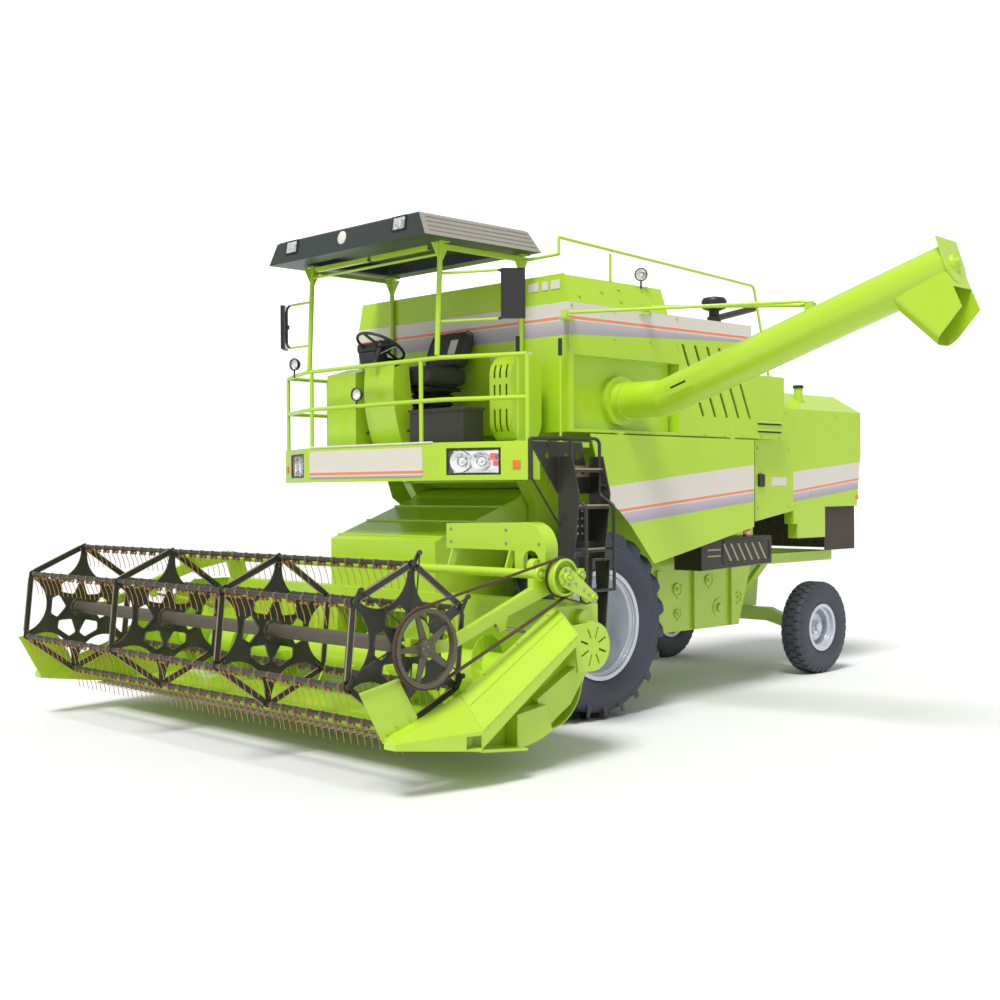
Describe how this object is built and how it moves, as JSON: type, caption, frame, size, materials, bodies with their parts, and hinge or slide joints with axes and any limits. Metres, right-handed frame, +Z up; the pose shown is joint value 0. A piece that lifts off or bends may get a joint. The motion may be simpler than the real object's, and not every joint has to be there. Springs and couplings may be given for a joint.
{
  "type": "self-propelled combine harvester",
  "caption": "Grain combine with cutter header and pick-up reel, open roofed platform, swing-out unloading auger and rear steering.",
  "frame": {"origin": "middle of the machine's box, on the ground", "axes": "+X forwards, +Y to the machine's left, +Z up"},
  "size_m": [7.9042, 6.611, 3.88],
  "materials": {
    "green_paint": "gloss",
    "dark_steel": "satin",
    "tyre_rubber": "matt",
    "silver_paint": "satin",
    "curtain_rubber": "matt",
    "seat_vinyl": "satin",
    "canopy_shell": "satin",
    "belt_rubber": "matt",
    "bare_steel": "satin",
    "engine_paint": "satin"
  },
  "bodies": {
    "chassis": {"chassis_frame": "green_paint", "thresher_body": "green_paint", "straw_hood": "green_paint", "straw_curtain": "curtain_rubber", "grain_tank": "green_paint", "engine_housing": "green_paint", "engine_block": "engine_paint", "side_boxes": "dark_steel", "platform": "green_paint", "guard_rails": "green_paint", "canopy": "canopy_shell", "controls": "green_paint", "seat": "seat_vinyl", "ladder": "dark_steel"},
    "front_wheel_left": {"tyre_front_left": "tyre_rubber", "rim_front_left": "silver_paint"},
    "front_wheel_right": {"tyre_front_right": "tyre_rubber", "rim_front_right": "silver_paint"},
    "knuckle_left": {"knuckle_left": "green_paint"},
    "knuckle_right": {"knuckle_right": "green_paint"},
    "rear_wheel_left": {"tyre_rear_left": "tyre_rubber", "rim_rear_left": "silver_paint"},
    "rear_wheel_right": {"tyre_rear_right": "tyre_rubber", "rim_rear_right": "silver_paint"},
    "header": {"header_frame": "green_paint", "header_ends": "green_paint"},
    "feed_auger": {"feed_auger": "green_paint"},
    "header_lift_barrels": {"header_lift_barrels": "green_paint"},
    "header_lift_rods": {"header_lift_rods": "bare_steel"},
    "reel_arms": {"reel_arms": "green_paint", "reel_drive_belt": "belt_rubber"},
    "reel_lift_barrels": {"reel_lift_barrels": "green_paint"},
    "reel_lift_rods": {"reel_lift_rods": "bare_steel"},
    "reel": {"reel": "dark_steel"},
    "reel_control": {"reel_control": "dark_steel"},
    "unloading_auger": {"unloading_auger": "green_paint"},
    "auger_stay": {"auger_stay": "green_paint"},
    "side_door_left": {"side_door_left": "green_paint"},
    "side_door_right": {"side_door_right": "green_paint"},
    "reel_bat_1": {"reel_bat_1": "dark_steel"},
    "reel_bat_2": {"reel_bat_2": "dark_steel"},
    "reel_bat_3": {"reel_bat_3": "dark_steel"},
    "reel_bat_4": {"reel_bat_4": "dark_steel"},
    "reel_bat_5": {"reel_bat_5": "dark_steel"},
    "reel_bat_6": {"reel_bat_6": "dark_steel"}
  },
  "joints": [
    {"name": "front_wheel_left_roll", "type": "hinge", "parent": "chassis", "child": "front_wheel_left", "pos_m": [0.698, 0.1925, 0.751], "axis": [0, 1, 0], "continuous": true},
    {"name": "front_wheel_right_roll", "type": "hinge", "parent": "chassis", "child": "front_wheel_right", "pos_m": [0.698, -1.9575, 0.751], "axis": [0, 1, 0], "continuous": true},
    {"name": "steering_left", "type": "hinge", "parent": "chassis", "child": "knuckle_left", "pos_m": [-2.82, -0.1125, 0.452], "axis": [0, 0, 1], "range_deg": [-38, 38]},
    {"name": "steering_right", "type": "hinge", "parent": "chassis", "child": "knuckle_right", "pos_m": [-2.82, -1.6525, 0.452], "axis": [0, 0, 1], "range_deg": [-38, 38]},
    {"name": "rear_wheel_left_roll", "type": "hinge", "parent": "knuckle_left", "child": "rear_wheel_left", "pos_m": [-2.82, 0.0625, 0.452], "axis": [0, 1, 0], "continuous": true},
    {"name": "rear_wheel_right_roll", "type": "hinge", "parent": "knuckle_right", "child": "rear_wheel_right", "pos_m": [-2.82, -1.8275, 0.452], "axis": [0, 1, 0], "continuous": true},
    {"name": "header_lift", "type": "hinge", "parent": "chassis", "child": "header", "pos_m": [0.848, -0.8825, 1.5], "axis": [0, -1, 0], "range_deg": [-3, 16]},
    {"name": "lift_barrel_swing", "type": "hinge", "parent": "chassis", "child": "header_lift_barrels", "pos_m": [0.818, -0.8825, 0.64], "axis": [0, -1, 0], "range_deg": [-3.54, 17.58]},
    {"name": "lift_rod_slide", "type": "slide", "parent": "header_lift_barrels", "child": "header_lift_rods", "axis": [0.9605, 0, -0.2783], "range_m": [-0.0477, 0.2414]},
    {"name": "feed_auger_turn", "type": "hinge", "parent": "header", "child": "feed_auger", "pos_m": [2.318, -0.8825, 0.56], "axis": [0, 1, 0], "continuous": true},
    {"name": "reel_lift", "type": "hinge", "parent": "header", "child": "reel_arms", "pos_m": [1.998, -0.8825, 1.25], "axis": [0, -1, 0], "range_deg": [-1.5, 18]},
    {"name": "reel_barrel_swing", "type": "hinge", "parent": "header", "child": "reel_lift_barrels", "pos_m": [2.138, -0.8825, 0.82], "axis": [0, -1, 0], "range_deg": [-1.75, 17.7]},
    {"name": "reel_rod_slide", "type": "slide", "parent": "reel_lift_barrels", "child": "reel_lift_rods", "axis": [0.9773, 0, 0.2118], "range_m": [-0.0148, 0.1443]},
    {"name": "reel_turn", "type": "hinge", "parent": "reel_arms", "child": "reel", "pos_m": [3.468, -0.8825, 0.885], "axis": [0, 1, 0], "continuous": true},
    {"name": "reel_control_turn", "type": "hinge", "parent": "reel_arms", "child": "reel_control", "pos_m": [3.428, 1.2355, 0.955], "axis": [0, 1, 0], "continuous": true},
    {"name": "reel_bat_1_turn", "type": "hinge", "parent": "reel", "child": "reel_bat_1", "pos_m": [3.41574, -0.8825, 1.38226], "axis": [0, 1, 0], "continuous": true},
    {"name": "reel_bat_2_turn", "type": "hinge", "parent": "reel", "child": "reel_bat_2", "pos_m": [3.87251, -0.8825, 1.17889], "axis": [0, 1, 0], "continuous": true},
    {"name": "reel_bat_3_turn", "type": "hinge", "parent": "reel", "child": "reel_bat_3", "pos_m": [3.92477, -0.8825, 0.68163], "axis": [0, 1, 0], "continuous": true},
    {"name": "reel_bat_4_turn", "type": "hinge", "parent": "reel", "child": "reel_bat_4", "pos_m": [3.52026, -0.8825, 0.38774], "axis": [0, 1, 0], "continuous": true},
    {"name": "reel_bat_5_turn", "type": "hinge", "parent": "reel", "child": "reel_bat_5", "pos_m": [3.06349, -0.8825, 0.59111], "axis": [0, 1, 0], "continuous": true},
    {"name": "reel_bat_6_turn", "type": "hinge", "parent": "reel", "child": "reel_bat_6", "pos_m": [3.01123, -0.8825, 1.08837], "axis": [0, 1, 0], "continuous": true},
    {"name": "auger_swing", "type": "hinge", "parent": "chassis", "child": "unloading_auger", "pos_m": [0.228, 0.4625, 2.545], "axis": [0, 0, 1], "range_deg": [0, 84]},
    {"name": "auger_stay_lift", "type": "hinge", "parent": "chassis", "child": "auger_stay", "pos_m": [1.258, 0.4895, 3.1769], "axis": [0.8851, 0.4654, 0], "range_deg": [0, 75]},
    {"name": "side_door_left_lift", "type": "hinge", "parent": "chassis", "child": "side_door_left", "pos_m": [-0.202, 0.4325, 2.284], "axis": [1, 0, 0], "range_deg": [0, 80]},
    {"name": "side_door_right_lift", "type": "hinge", "parent": "chassis", "child": "side_door_right", "pos_m": [-0.202, -2.1975, 2.284], "axis": [-1, 0, 0], "range_deg": [0, 80]}
  ],
  "couplings": [
    {"joint": "steering_right", "follows": "steering_left", "ratio": 1},
    {"joint": "lift_barrel_swing", "follows": "header_lift", "ratio": 1.0797},
    {"joint": "lift_rod_slide", "follows": "header_lift", "m_per_rad": 0.8538},
    {"joint": "reel_barrel_swing", "follows": "reel_lift", "ratio": 0.96681},
    {"joint": "reel_rod_slide", "follows": "reel_lift", "m_per_rad": 0.44979},
    {"joint": "reel_control_turn", "follows": "reel_turn", "ratio": 1},
    {"joint": "reel_bat_1_turn", "follows": "reel_turn", "ratio": -1},
    {"joint": "reel_bat_2_turn", "follows": "reel_turn", "ratio": -1},
    {"joint": "reel_bat_3_turn", "follows": "reel_turn", "ratio": -1},
    {"joint": "reel_bat_4_turn", "follows": "reel_turn", "ratio": -1},
    {"joint": "reel_bat_5_turn", "follows": "reel_turn", "ratio": -1},
    {"joint": "reel_bat_6_turn", "follows": "reel_turn", "ratio": -1}
  ]
}
